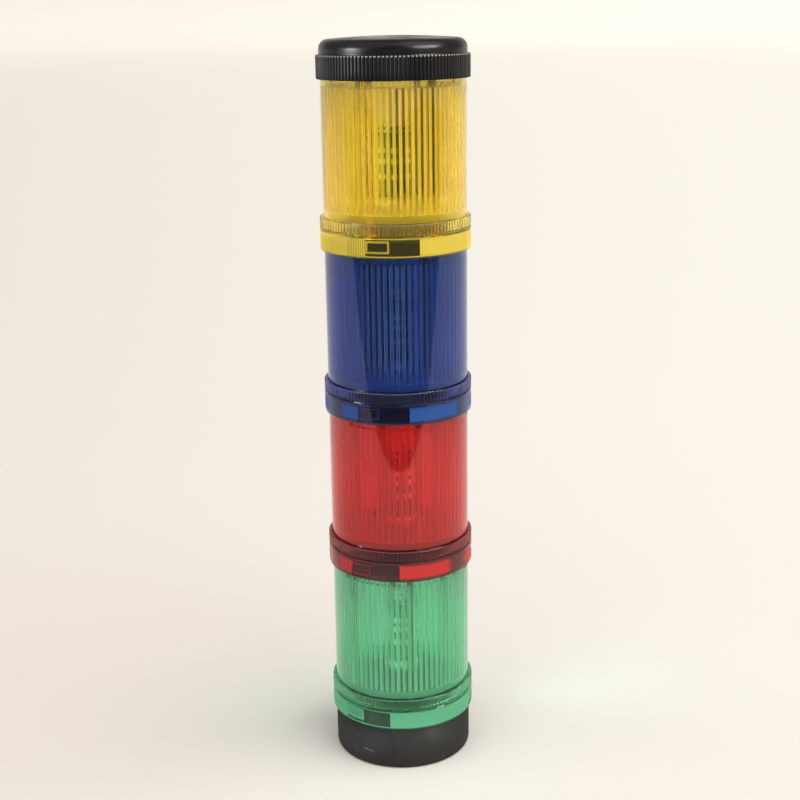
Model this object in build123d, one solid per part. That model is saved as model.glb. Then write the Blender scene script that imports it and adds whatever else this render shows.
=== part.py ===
from build123d import *
import os
from math import asin, degrees, radians, sqrt

# A signal tower: a base, four coloured light units and a cap, joined by bayonets.
# Millimetres. The axis is Z, the floor is z = 0 and the front faces -Y.
# A bearing is an angle in degrees from the front, anticlockwise seen from above.
# Each sub-part is drawn in its unit's own frame, where z = 0 is the collar's lower edge.

# Stacking
BASE_HEIGHT = 21.85
UNIT_PITCH = 77.0
UNIT_NAMES = ["green", "red", "blue", "yellow"]
UNIT_TURN = 9.5
NECK_RISE = 7.0

# Lens
LENS_R = 33.25
LENS_WALL = 2.0
LENS_EDGE = 0.3
RIB_COUNT = 72
RIB_DEPTH = 0.9
RIB_ROOT = 1.5
RIB_TIP = 0.8
RIB_ROOTING = 0.3
RIB_LOW = 18.7
RIB_STOP = 3.2
LEDGE_REACH = 1.25
LEDGE_T = 1.0

# Collar
COLLAR_WALL = 1.35
COLLAR_HEIGHT = 15.1
COLLAR_EDGE = 0.5
LENS_GAP = 0.25
WEB_T = 1.4
GROOVE_DEPTH = 0.7
GROOVE_HEIGHT = 0.4
PANEL_DEPTH = 0.45
PANEL_LOW = 1.1
PANEL_HIGH = 8.6
PANEL_START = -23.0
PANEL_WIDTH = 41.0
FRAME_WIDTH = 18.0
FRAME_RIM = 0.9
FRAME_LOW = 2.3
FRAME_HIGH = 8.0

# Grip of the collars and the cap
GRIP_TEETH = 120
GRIP_DEPTH = 0.45

# Bayonet
LUG_COUNT = 3
LUG_BEARING = -22.7
LUG_WIDTH = 22.0
LUG_REACH = 1.3
LUG_ROOTING = 0.3
LUG_LOW = 1.6
LUG_HEIGHT = 2.5
LUG_GAP = 0.3
LUG_PLAY = 0.5
TRAVEL = 30.0
NECK_GAP = 0.4
SLOT_DEPTH = 1.2
SLOT_SHOW = 2.6

# Seal
SEAL_T = 1.0
SEAL_GAP = 0.3
SEAL_WIDTH = 2.0
SEAL_FIT = 0.2

# Contact carrier, contact ring and bus strips
CARRIER_HUB_R = 13.5
CARRIER_INSET = 3.0
CARRIER_SKIRT_T = 1.6
CARRIER_FLANGE_T = 3.6
CARRIER_DECK_T = 1.6
CARRIER_DROP = 1.7
CARRIER_GAP = 0.3
RING_T = 2.5
RING_DROP = 1.0
RING_WIDTH = 7.0
RING_GAP = 0.3
STRIP_COUNT = 6
STRIP_BEARING = -23.0
STRIP_INSET = 3.25
STRIP_T = 0.8
STRIP_WIDTH = 2.8
STRIP_FOOT = 3.2
STRIP_FOOT_T = 0.5
STRIP_GAP = 0.15
CONTACT_GAP = 0.3

# Lamp socket and lamp
SOCKET_R = 10.5
SOCKET_HEIGHT = 6.0
SOCKET_FLOOR = 1.2
SHELL_R = 7.5
SHELL_HEIGHT = 6.6
SHELL_GAP = 0.2
PIN_R = 1.0
PIN_REACH = 1.6
PIN_HEIGHT = 2.6
PIN_GAP = 0.25
PIN_TURN = 20.0
CORE_FLATS = 9.6
NECK_DISC_T = 1.4
BOARD_R = 7.8
BOARD_T = 1.4
LOWER_BOARD_Z = 24.0
UPPER_BOARD_Z = 51.6
TOP_BOARD_Z = 54.0
TOP_BOARD_R = 6.4
SIDE_BOARD_T = 0.8
SIDE_BOARD_WIDTH = 4.8
CORE_FACES = 6
CHIP_WIDTH = 3.2
CHIP_HEIGHT = 2.2
CHIP_T = 1.3
CHIP_ROWS = [33.0, 39.9, 44.8]
TOP_CHIP_COUNT = 3
TOP_CHIP_R = 3.4

# Cap
CAP_RING_HEIGHT = 10.6
CAP_EDGE = 0.4
DOME_STEP = 1.4
DOME_SHOULDER = 13.0
DOME_CORNER = 4.4
CAP_HEIGHT = 18.6
CAP_WALL = 2.2
SEAL_SEAT_WIDTH = 2.6

# Base
BASE_STEP = 0.25
BASE_WALL = 2.5
BASE_FLOOR = 3.0
BASE_FOOT_ROUND = 1.8
CABLE_HOLE_R = 10.0
SCREW_HOLE_COUNT = 3
SCREW_HOLE_R = 2.25
SCREW_INSET = 7.5
GASKET_INSET = 2.9
GASKET_WIDTH = 1.8
GASKET_T = 1.4
GASKET_FIT = 0.1
TERMINAL_COUNT = 6
TERMINAL_PITCH = 5.0
TERMINAL_DEPTH = 8.0
TERMINAL_HEIGHT = 9.0
TERMINAL_INSET = 13.0
TERMINAL_END = 1.0
TERMINAL_WELL_R = 1.9
TERMINAL_WELL_DEPTH = 4.0
TERMINAL_SCREW_R = 1.6
TERMINAL_SCREW_HEIGHT = 2.0
TERMINAL_DRIVE_WIDTH = 0.5
TERMINAL_DRIVE_DEPTH = 0.6

# Sizes that follow from those above
BORE_R = LENS_R + NECK_GAP
COLLAR_R = BORE_R + COLLAR_WALL
DOME_R = COLLAR_R - DOME_STEP
LENS_BORE_R = LENS_R - LENS_WALL
LENS_SEAT_R = LENS_R + LENS_GAP
WEB_LOW = NECK_RISE + SEAL_GAP + SEAL_T
WEB_TOP = WEB_LOW + WEB_T
WEB_R = CARRIER_HUB_R + CARRIER_GAP
RIM_Z = UNIT_PITCH + NECK_RISE
RING_TOP = RIM_Z - RING_DROP
RING_LOW = RING_TOP - RING_T
RING_R = LENS_BORE_R - RING_GAP
STRIP_R = LENS_BORE_R - STRIP_INSET
CARRIER_FLANGE_R = STRIP_R - CARRIER_INSET
CARRIER_SKIRT_R = CARRIER_FLANGE_R - CARRIER_SKIRT_T
STRIP_TOP = RING_TOP + STRIP_FOOT_T
STRIP_LOW = STRIP_TOP - UNIT_PITCH + CONTACT_GAP
CARRIER_TOP = WEB_TOP + CARRIER_FLANGE_T
SHELL_LOW = CARRIER_TOP + SOCKET_FLOOR
SHELL_TOP = SHELL_LOW + SHELL_HEIGHT
CORE_LOW = SHELL_TOP + NECK_DISC_T
BASE_R = LENS_R + BASE_STEP
SCREW_CIRCLE_R = BASE_R - SCREW_INSET
GASKET_R = BASE_R - GASKET_INSET
TERMINAL_Y = BASE_R - BASE_WALL - TERMINAL_INSET


def at_bearing(shape, bearing, radius=0.0, height=0.0):
    """Turns a shape drawn at the front about the axis, after moving it out to a radius."""
    return Rot(0, 0, bearing) * Pos(0, -radius, height) * shape


def tube(outer, inner, low, high):
    """A plain ring between two radii and two heights."""
    ring = Cylinder(outer, high - low) - Cylinder(inner, high - low)
    return Pos(0, 0, (low + high) / 2) * ring


def disc(radius, low, high):
    return Pos(0, 0, (low + high) / 2) * Cylinder(radius, high - low)


def block(width, depth, height):
    """A box that stands on z = 0, centred on the axis."""
    return Pos(0, 0, height / 2) * Box(width, depth, height)


def sector(inner, outer, low, high, start, width):
    """A ring segment that starts at a bearing and runs anticlockwise by a width in degrees."""
    outline = Polyline((inner, 0, low), (outer, 0, low), (outer, 0, high), (inner, 0, high), close=True)
    return Rot(0, 0, start - 90) * revolve(make_face(outline), Axis.Z, width)


def turned(points):
    """A solid of revolution from its half section, given as radius and height pairs."""
    outline = Polyline(*[(radius, 0, height) for radius, height in points], close=True)
    return revolve(make_face(outline), Axis.Z, 360)


def spaced(shape, count, start=0.0):
    """Copies of a shape at equal bearings round the axis."""
    return [Rot(0, 0, start + index * 360 / count) * shape for index in range(count)]


def bayonet_slots(plane_z):
    """L-shaped cuts in a neck. plane_z is where the collar above has its lower edge."""
    floor_r = LENS_R - SLOT_DEPTH
    outside = LENS_R + 1
    start = LUG_BEARING + UNIT_TURN - LUG_WIDTH / 2 - LUG_PLAY
    entry = LUG_WIDTH + 2 * LUG_PLAY
    roof = plane_z + LUG_LOW + LUG_HEIGHT + LUG_GAP
    run = sector(floor_r, outside, plane_z - SLOT_SHOW, roof, start, entry + TRAVEL)
    way_in = sector(floor_r, outside, roof - LUG_GAP, plane_z + NECK_RISE + 1, start + TRAVEL, entry)
    return spaced(run + way_in, LUG_COUNT)


def bayonet_lugs():
    """The inward lugs of a collar or of the cap, rooted in its wall."""
    start = LUG_BEARING - LUG_WIDTH / 2
    inner = BORE_R - LUG_REACH
    lug = sector(inner, BORE_R + LUG_ROOTING, LUG_LOW, LUG_LOW + LUG_HEIGHT, start, LUG_WIDTH)
    return spaced(lug, LUG_COUNT)


def rib():
    """One inner rib of the lens at the front: a trapezium rooted in the wall."""
    root_y = -LENS_BORE_R - RIB_ROOTING
    tip_y = -LENS_BORE_R + RIB_DEPTH
    outline = Polyline(
        (-RIB_ROOT / 2, root_y), (RIB_ROOT / 2, root_y), (RIB_TIP / 2, tip_y), (-RIB_TIP / 2, tip_y), close=True
    )
    return Pos(0, 0, RIB_LOW) * extrude(make_face(outline), UNIT_PITCH - RIB_STOP - RIB_LOW)


def lens():
    """A clear tube with inner ribs, a ledge for the contact ring and a bayonet neck."""
    ledge_r = LENS_BORE_R - LEDGE_REACH
    wall = turned([
        (LENS_BORE_R, WEB_TOP),
        (LENS_R, WEB_TOP),
        (LENS_R, RIM_Z - LENS_EDGE),
        (LENS_R - LENS_EDGE, RIM_Z),
        (LENS_BORE_R, RIM_Z),
        (LENS_BORE_R, RING_LOW),
        (ledge_r, RING_LOW),
        (ledge_r, RING_LOW - LEDGE_T),
        (LENS_BORE_R, RING_LOW - LEDGE_T - LEDGE_REACH),
    ])
    return wall + spaced(rib(), RIB_COUNT) - bayonet_slots(UNIT_PITCH)


def band_pocket():
    """A shallow pocket in the lower band, with a framed window left standing at one end."""
    floor_r = COLLAR_R - PANEL_DEPTH
    outside = COLLAR_R + 1
    rim_angle = FRAME_RIM / radians(COLLAR_R)
    pocket = sector(floor_r, outside, PANEL_LOW, PANEL_HIGH, PANEL_START, PANEL_WIDTH)
    frame = sector(floor_r - 1, outside + 1, FRAME_LOW, FRAME_HIGH, PANEL_START - 1, FRAME_WIDTH + 1)
    window = sector(
        floor_r, outside, FRAME_LOW + FRAME_RIM, FRAME_HIGH - FRAME_RIM,
        PANEL_START + rim_angle, FRAME_WIDTH - 2 * rim_angle,
    )
    return [pocket - frame, window]


def grip_grooves(low, high):
    """V-shaped cuts round the outside that leave the teeth of the grip: square bars set on edge."""
    side = GRIP_DEPTH * sqrt(2)
    bar = Rot(0, 0, 45) * block(side, side, high - low)
    return spaced(at_bearing(bar, 0, COLLAR_R, low), GRIP_TEETH)


def collar():
    """The grip ring, groove, panelled band and floor web, with lugs inside and slots for the strips."""
    groove_r = COLLAR_R - GROOVE_DEPTH
    body = turned([
        (BORE_R, 0),
        (COLLAR_R - COLLAR_EDGE, 0),
        (COLLAR_R, COLLAR_EDGE),
        (COLLAR_R, WEB_TOP),
        (groove_r, WEB_TOP),
        (groove_r, WEB_TOP + GROOVE_HEIGHT),
        (COLLAR_R, WEB_TOP + GROOVE_HEIGHT),
        (COLLAR_R, COLLAR_HEIGHT - COLLAR_EDGE),
        (COLLAR_R - COLLAR_EDGE, COLLAR_HEIGHT),
        (LENS_SEAT_R, COLLAR_HEIGHT),
        (LENS_SEAT_R, WEB_TOP),
        (WEB_R, WEB_TOP),
        (WEB_R, WEB_LOW),
        (BORE_R, WEB_LOW),
    ])
    for cut in band_pocket():
        body = body - spaced(cut, LUG_COUNT)
    body = body - grip_grooves(WEB_TOP + GROOVE_HEIGHT / 2, COLLAR_HEIGHT + 1)
    body = body + bayonet_lugs()
    return body - strip_slots(WEB_LOW, WEB_TOP)


def seal():
    """A flat ring under the web that closes on the neck below."""
    outer = BORE_R - SEAL_FIT
    return tube(outer, outer - SEAL_WIDTH, WEB_LOW - SEAL_T, WEB_LOW)


def strip_slots(low, high):
    """Cuts that the bus strips pass through with a little room all round."""
    slot = block(STRIP_WIDTH + 2 * STRIP_GAP, STRIP_T + 2 * STRIP_GAP, high - low + 2)
    return spaced(at_bearing(slot, STRIP_BEARING, STRIP_R, low - 1), STRIP_COUNT)


def contact_ring():
    """The flat ring in a neck on which the strips end."""
    return tube(RING_R, RING_R - RING_WIDTH, RING_LOW, RING_TOP) - strip_slots(RING_LOW, RING_TOP)


def strip_foot():
    """A contact foot that points inwards from a strip."""
    return Pos(0, (STRIP_FOOT - STRIP_T) / 2, 0) * block(STRIP_WIDTH, STRIP_FOOT, STRIP_FOOT_T)


def bus_strips():
    """Six flat strips from unit to unit, each with a foot at both ends."""
    leg = Pos(0, 0, STRIP_LOW) * block(STRIP_WIDTH, STRIP_T, STRIP_TOP - STRIP_LOW)
    upper_foot = Pos(0, 0, RING_TOP) * strip_foot()
    lower_foot = Pos(0, 0, STRIP_LOW) * strip_foot()
    strip = leg + upper_foot + lower_foot
    return spaced(at_bearing(strip, STRIP_BEARING, STRIP_R), STRIP_COUNT)


def contact_carrier():
    """The black dish whose hub closes the web's hole. Its skirt stands on the web."""
    return turned([
        (0, WEB_TOP - CARRIER_DROP),
        (CARRIER_HUB_R, WEB_TOP - CARRIER_DROP),
        (CARRIER_HUB_R, CARRIER_TOP - CARRIER_DECK_T),
        (CARRIER_SKIRT_R, CARRIER_TOP - CARRIER_DECK_T),
        (CARRIER_SKIRT_R, WEB_TOP),
        (CARRIER_FLANGE_R, WEB_TOP),
        (CARRIER_FLANGE_R, CARRIER_TOP - COLLAR_EDGE),
        (CARRIER_FLANGE_R - COLLAR_EDGE, CARRIER_TOP),
        (0, CARRIER_TOP),
    ])


def lamp_socket():
    """A cup with two J-shaped slots for the pins of the lamp."""
    bore = SHELL_R + SHELL_GAP
    top = CARRIER_TOP + SOCKET_HEIGHT
    cup = disc(SOCKET_R, CARRIER_TOP, top) - disc(bore, SHELL_LOW, top)
    slot_width = 2 * (PIN_R + PIN_GAP)
    slot_low = SHELL_LOW + PIN_HEIGHT - slot_width / 2
    half_angle = slot_width / 2 / radians(SHELL_R)
    outside = SOCKET_R + 1
    drop = sector(bore - 1, outside, slot_low, top + 1, PIN_TURN - half_angle, 2 * half_angle)
    hook = sector(bore - 1, outside, slot_low, slot_low + slot_width, -half_angle, PIN_TURN + 2 * half_angle)
    return cup - spaced(drop + hook, 2, 90)


def lamp_shell():
    """The metal shell of the lamp with its two side pins."""
    pin = Rot(90, 0, 0) * Cylinder(PIN_R, SHELL_R / 2 + PIN_REACH)
    pin_r = SHELL_R / 2 + (SHELL_R / 2 + PIN_REACH) / 2
    return disc(SHELL_R, SHELL_LOW, SHELL_TOP) + spaced(
        at_bearing(pin, 0, pin_r, SHELL_LOW + PIN_HEIGHT), 2, 90
    )


def hex_post(low, high):
    """A length of the lamp's six-sided core."""
    post = extrude(RegularPolygon(CORE_FLATS / 2, CORE_FACES, major_radius=False), high - low)
    return Pos(0, 0, low) * post


def lamp_core():
    """White posts between the boards, standing on a disc on the shell."""
    return [
        disc(SHELL_R, SHELL_TOP, CORE_LOW) + hex_post(CORE_LOW, LOWER_BOARD_Z),
        hex_post(LOWER_BOARD_Z + BOARD_T, UPPER_BOARD_Z),
        hex_post(UPPER_BOARD_Z + BOARD_T, TOP_BOARD_Z),
    ]


def lamp_boards():
    """Three round boards and six upright ones on the faces of the core."""
    upright_low = LOWER_BOARD_Z + BOARD_T
    upright = block(SIDE_BOARD_WIDTH, SIDE_BOARD_T, UPPER_BOARD_Z - upright_low)
    radius = CORE_FLATS / 2 + SIDE_BOARD_T / 2
    rounds = [
        disc(BOARD_R, LOWER_BOARD_Z, LOWER_BOARD_Z + BOARD_T),
        disc(BOARD_R, UPPER_BOARD_Z, UPPER_BOARD_Z + BOARD_T),
        disc(TOP_BOARD_R, TOP_BOARD_Z, TOP_BOARD_Z + BOARD_T),
    ]
    return rounds + spaced(at_bearing(upright, 0, radius, upright_low), CORE_FACES)


def chips():
    """Light-emitting chips in rows round the core and a few on the top board."""
    side_chip = block(CHIP_WIDTH, CHIP_T, CHIP_HEIGHT)
    radius = CORE_FLATS / 2 + SIDE_BOARD_T + CHIP_T / 2
    side_chips = []
    for height in CHIP_ROWS:
        side_chips += spaced(at_bearing(side_chip, 0, radius, height - CHIP_HEIGHT / 2), CORE_FACES)
    top_chip = block(CHIP_WIDTH, CHIP_HEIGHT, CHIP_T)
    return side_chips + spaced(at_bearing(top_chip, 0, TOP_CHIP_R, TOP_BOARD_Z + BOARD_T), TOP_CHIP_COUNT)


def domed_plug(radius, low, shoulder, corner, top):
    """A solid with a straight side, a round corner and a crowned top."""
    crown_edge_r = radius - corner
    crown_edge_z = shoulder + corner
    rise = top - crown_edge_z
    crown_r = (crown_edge_r ** 2 + rise ** 2) / (2 * rise)
    crown_angle = degrees(asin(crown_edge_r / crown_r))
    outline = [
        Line((0, low), (radius, low)),
        Line((radius, low), (radius, shoulder)),
        CenterArc((crown_edge_r, shoulder), corner, 0, 90),
        CenterArc((0, top - crown_r), crown_r, 90 - crown_angle, crown_angle),
        Line((0, top), (0, low)),
    ]
    return revolve(Plane.XZ * make_face(outline), Axis.Z, 360)


def cap():
    """A skirt like a collar's under a low dome, hollow, with lugs inside."""
    skirt = turned([
        (0, 0),
        (COLLAR_R - CAP_EDGE, 0),
        (COLLAR_R, CAP_EDGE),
        (COLLAR_R, CAP_RING_HEIGHT - CAP_EDGE),
        (COLLAR_R - CAP_EDGE, CAP_RING_HEIGHT),
        (0, CAP_RING_HEIGHT),
    ])
    dome = domed_plug(DOME_R, CAP_RING_HEIGHT - 1, DOME_SHOULDER, DOME_CORNER, CAP_HEIGHT)
    hollow = domed_plug(
        BORE_R - SEAL_SEAT_WIDTH, WEB_LOW - 1, DOME_SHOULDER - CAP_WALL / 2,
        DOME_CORNER - CAP_WALL / 2, CAP_HEIGHT - CAP_WALL,
    )
    skirt = skirt - grip_grooves(-1, CAP_RING_HEIGHT + 1)
    return skirt + dome - hollow - disc(BORE_R, -1, WEB_LOW) + bayonet_lugs()


def base_housing():
    """A cup with a floor, a neck like a lens's, a cable hole and mounting holes."""
    rim = BASE_HEIGHT + NECK_RISE
    ring_low = BASE_HEIGHT + RING_LOW - UNIT_PITCH
    cavity_r = BASE_R - BASE_WALL
    ledge_r = LENS_BORE_R - LEDGE_REACH
    body = turned([
        (0, 0),
        (BASE_R, 0),
        (BASE_R, BASE_HEIGHT),
        (LENS_R, BASE_HEIGHT),
        (LENS_R, rim - LENS_EDGE),
        (LENS_R - LENS_EDGE, rim),
        (LENS_BORE_R, rim),
        (LENS_BORE_R, ring_low),
        (ledge_r, ring_low),
        (ledge_r, ring_low - LEDGE_T),
        (cavity_r, ring_low - LEDGE_T - LEDGE_REACH),
        (cavity_r, BASE_FLOOR),
        (0, BASE_FLOOR),
    ])
    foot_edge = body.edges().filter_by(GeomType.CIRCLE).group_by(Axis.Z)[0]
    body = fillet(foot_edge, BASE_FOOT_ROUND)
    screw_hole = disc(SCREW_HOLE_R, -1, BASE_FLOOR + 1)
    screw_holes = spaced(at_bearing(screw_hole, 0, SCREW_CIRCLE_R), SCREW_HOLE_COUNT)
    groove_r = GASKET_R + GASKET_FIT
    groove = tube(groove_r, GASKET_R - GASKET_WIDTH - GASKET_FIT, -1, GASKET_T)
    slots = [Rot(0, 0, base_turn()) * slot for slot in bayonet_slots(BASE_HEIGHT)]
    return body - disc(CABLE_HOLE_R, -1, BASE_FLOOR + 1) - screw_holes - groove - slots


def base_contact_ring():
    """The same ring as in the lens necks, without slots, on the ledge of the base."""
    drop = BASE_HEIGHT - UNIT_PITCH
    return tube(RING_R, RING_R - RING_WIDTH, RING_LOW + drop, RING_TOP + drop)


def base_contacts():
    """Pads on the ring, under the feet of the green unit's strips."""
    pad = Pos(0, 0, BASE_HEIGHT + RING_TOP - UNIT_PITCH) * strip_foot()
    return spaced(at_bearing(pad, unit_turn(-1) + STRIP_BEARING, STRIP_R), STRIP_COUNT)


def terminal_x():
    """The places of the terminals along their block."""
    return [(index - (TERMINAL_COUNT - 1) / 2) * TERMINAL_PITCH for index in range(TERMINAL_COUNT)]


def terminal_block():
    """A block on the floor with a well for each screw and an entry for each wire."""
    width = TERMINAL_COUNT * TERMINAL_PITCH + 2 * TERMINAL_END
    body = Pos(0, TERMINAL_Y, BASE_FLOOR) * block(width, TERMINAL_DEPTH, TERMINAL_HEIGHT)
    top = BASE_FLOOR + TERMINAL_HEIGHT
    well = disc(TERMINAL_WELL_R, top - TERMINAL_WELL_DEPTH, top + 1)
    wire_way = block(TERMINAL_WELL_R, TERMINAL_DEPTH, TERMINAL_WELL_R)
    front = TERMINAL_Y - TERMINAL_DEPTH / 2
    for x in terminal_x():
        body -= Pos(x, TERMINAL_Y, 0) * well
        body -= Pos(x, front, BASE_FLOOR + TERMINAL_END) * wire_way
    return body


def terminal_screws():
    """Slotted screws at the bottom of the wells."""
    drive = Pos(0, 0, TERMINAL_SCREW_HEIGHT - TERMINAL_DRIVE_DEPTH) * block(
        2 * TERMINAL_SCREW_R, TERMINAL_DRIVE_WIDTH, TERMINAL_DRIVE_DEPTH
    )
    screw = disc(TERMINAL_SCREW_R, 0, TERMINAL_SCREW_HEIGHT) - drive
    seat = BASE_FLOOR + TERMINAL_HEIGHT - TERMINAL_WELL_DEPTH
    return [Pos(x, TERMINAL_Y, seat) * screw for x in terminal_x()]


def foot_gasket():
    return tube(GASKET_R, GASKET_R - GASKET_WIDTH, 0, GASKET_T)


def unit_turn(index):
    """The bearing of a unit, counted up from the green one. The base is -1 and the cap is 4."""
    return (index - len(UNIT_NAMES) + 1) * UNIT_TURN


def base_turn():
    return unit_turn(-1)


def save(name, shape, place=Pos(0, 0, 0)):
    """Writes one node. A list of solids becomes one group."""
    solids = shape if isinstance(shape, list) else [shape]
    placed = [place * solid for solid in solids]
    export_step(placed[0] if len(placed) == 1 else Compound(children=placed), f"parts/{name}.step")


def main():
    os.makedirs("parts", exist_ok=True)
    save("base_housing", base_housing())
    save("base_contact_ring", base_contact_ring())
    save("base_contacts", base_contacts())
    save("terminal_block", terminal_block())
    save("terminal_screws", terminal_screws())
    save("foot_gasket", foot_gasket())
    unit_parts = {
        "lens": lens(),
        "collar": collar(),
        "seal": seal(),
        "contact_ring": contact_ring(),
        "bus_strips": bus_strips(),
        "contact_carrier": contact_carrier(),
        "lamp_socket": lamp_socket(),
        "lamp_shell": lamp_shell(),
        "lamp_core": lamp_core(),
        "lamp_boards": lamp_boards(),
        "lamp_chips": chips(),
    }
    for index, colour in enumerate(UNIT_NAMES):
        place = Pos(0, 0, BASE_HEIGHT + index * UNIT_PITCH) * Rot(0, 0, unit_turn(index))
        for name, shape in unit_parts.items():
            save(f"{colour}_{name}", shape, place)
    cap_place = Pos(0, 0, BASE_HEIGHT + len(UNIT_NAMES) * UNIT_PITCH) * Rot(0, 0, unit_turn(len(UNIT_NAMES)))
    save("cap", cap(), cap_place)
    save("cap_seal", seal(), cap_place)


main()
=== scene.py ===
import math

import bmesh
import bpy
import numpy as np
from mathutils import Matrix, Vector


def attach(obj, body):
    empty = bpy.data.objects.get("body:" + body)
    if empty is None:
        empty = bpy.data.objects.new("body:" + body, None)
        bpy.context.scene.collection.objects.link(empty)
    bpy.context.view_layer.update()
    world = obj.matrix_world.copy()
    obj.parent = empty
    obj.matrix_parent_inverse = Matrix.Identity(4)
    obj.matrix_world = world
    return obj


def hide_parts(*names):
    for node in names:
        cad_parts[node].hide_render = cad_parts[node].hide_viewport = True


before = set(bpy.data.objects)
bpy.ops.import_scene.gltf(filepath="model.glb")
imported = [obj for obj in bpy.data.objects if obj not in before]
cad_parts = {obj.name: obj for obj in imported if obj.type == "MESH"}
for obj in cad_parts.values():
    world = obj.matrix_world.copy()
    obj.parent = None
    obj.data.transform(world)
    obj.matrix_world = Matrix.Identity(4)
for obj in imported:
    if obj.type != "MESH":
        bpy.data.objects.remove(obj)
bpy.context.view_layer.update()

# The looks of a four-unit stack light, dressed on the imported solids.
# Shapes are worked out in millimetres in each unit's own frame, where z = 0 is the lower
# edge of its collar, and go into the meshes in metres. A bearing is an angle in degrees
# from the front, -Y, anticlockwise seen from above.

MM = 0.001
UNITS = ["green", "red", "blue", "yellow"]
BASE_HEIGHT = 21.85
UNIT_PITCH = 77.0
UNIT_TURN = 9.5

# Clearance that keeps two clear faces from lying in one plane
SKIN = 0.02

# Widths of the slopes at upright edges, in degrees, and at level edges, in millimetres
EDGE_SLOPE = 0.12
ROW_SLOPE = 0.1

# Shares of the light that a lens scatters: its flutes, its plain foot, and the haze of its bore
# at the middle of a stripe, between two stripes and low down
FLUTE_GLOW = {"green": 0.7, "red": 0.64, "blue": 0.7, "yellow": 0.8}
FOOT_GLOW = 0.5
LENS_HAZE = {"green": 0.2, "red": 0.43, "blue": 0.02, "yellow": 0.0}
SIDE_HAZE = {"green": 0.2, "red": 0.45, "blue": 0.6, "yellow": 0.4}
FOOT_HAZE = {"green": 0.15, "red": 0.55, "blue": 0.45, "yellow": 0.7}

# Painted shade: how dark the valleys between the flutes are painted, and how dark the line at the
# flutes' upper ends and the plain ring above it
VALLEY_SHADE = {"green": 0.12, "red": 0.12, "blue": 1.5, "yellow": 1.1}
END_SHADE = 0.9
RING_SHADE = 0.35

# Half the width of a flute's bright crest, in degrees, between two stripes and at the middle of
# a stripe, the slope at its sides, and the bearing of one stripe's middle
WIDE_CREST = 1.47
NARROW_CREST = {"green": 1.47, "red": 1.47, "blue": 0.62, "yellow": 1.3}
CREST_SLOPE = 0.15
STRIPE_MIDDLE = 9.0

# Shares of the light that a collar's raised panels, frames and panes scatter, how far its panels
# are set in from the band's edges, and how much painted shade its grip has at the middle of a stripe
PANEL_GLOW = {"green": 0.8, "red": 0.75, "blue": 0.8, "yellow": 0.8}
FRAME_GLOW = {"green": 0.7, "red": 0.2, "blue": 0.15, "yellow": 0.4}
PANE_GLOW = {"green": 0.6, "red": 0.0, "blue": 0.0, "yellow": 0.0}
PANEL_INSET = {"green": 0.0, "red": 0.9, "blue": 0.9, "yellow": 0.15}
GRIP_SHADE = 0.5

# Fine upright lines moulded in the pockets and the grip, and beside each framed window
LINE_COUNT = 228
POCKET_LINES = 0.045
GRIP_LINES = 0.02
PATCH_LINES = {"green": 0.0, "red": 0.35, "blue": 0.35, "yellow": 0.5}
PATCH_START = -39.0


def place(index):
    """Height and bearing at which a unit's own frame stands, counted from the green one. The
    cap is unit 4, and the yellow unit has bearing 0."""
    return BASE_HEIGHT + index * UNIT_PITCH, (index - 3) * UNIT_TURN


# Surfaces

def smooth_step(x, low, high):
    """0 below low, 1 above high, and 3t^2 - 2t^3 between them."""
    t = np.clip((x - low) / (high - low), 0.0, 1.0)
    return t * t * (3.0 - 2.0 * t)


def window(x, low, high, edge):
    """1 between low and high and 0 outside, with a straight slope of width edge at both ends."""
    rise = np.clip((x - low) / edge + 0.5, 0.0, 1.0)
    fall = np.clip((high - x) / edge + 0.5, 0.0, 1.0)
    return rise * fall


def field(third, height, sides, ends, slope=ROW_SLOPE):
    """1 inside a box of bearings and heights and 0 outside it: the product of two windows."""
    return window(third, *sides, EDGE_SLOPE) * window(height, *ends, slope)


def from_centre(bearing, count, start=0.0):
    """The signed angle from each bearing to the nearest of count equal steps round the axis."""
    pitch = 360.0 / count
    return (bearing - start + pitch / 2.0) % pitch - pitch / 2.0


def bearings(pattern, count, extras=()):
    """Sorted bearings: a pattern of offsets repeated count times, and single ones three times over."""
    steps = np.arange(count)[:, None] * (360.0 / count) + np.asarray(pattern)[None, :]
    thirds = np.arange(3)[:, None] * 120.0 + np.asarray(extras, float)[None, :]
    every = np.concatenate([steps.ravel(), thirds.ravel()]) % 360.0
    return np.unique(np.round(every, 3))


def edge_pair(*edges):
    """Two bearings for each edge, just before it and just after it."""
    return [edge + side * EDGE_SLOPE / 2.0 for edge in edges for side in (-1.0, 1.0)]


def polar_points(bearing, radius, height, turn, lift):
    """Points at a radius and a height on each bearing: x = r sin b, y = -r cos b."""
    angle = np.radians(bearing + turn)[:, None]
    x = radius * np.sin(angle)
    y = -radius * np.cos(angle)
    z = height + lift + 0.0 * x
    return np.stack([x, y, z], axis=-1)


def add_object(name, data):
    """A new object of the scene that holds a mesh, a lamp or a camera."""
    holder = bpy.data.objects.new(name, data)
    bpy.context.scene.collection.objects.link(holder)
    return holder


def add_piece(name, points, faces, material, sharp_degrees=32.0, marks=None):
    """A mesh piece from points in millimetres, smooth but for the edges sharper than an angle.
    marks gives named numbers at each point, which the finishes read."""
    mesh = bpy.data.meshes.new(name)
    mesh.from_pydata((points * MM).tolist(), [], faces)
    mesh.update()
    for mark, values in (marks or {}).items():
        layer = mesh.attributes.new(mark, "FLOAT", "POINT")
        layer.data.foreach_set("value", np.asarray(values, np.float32).ravel())
    mesh.shade_smooth()
    mesh.set_sharp_from_angle(angle=math.radians(sharp_degrees))
    mesh.materials.append(material)
    return add_object(name, mesh)


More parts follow.
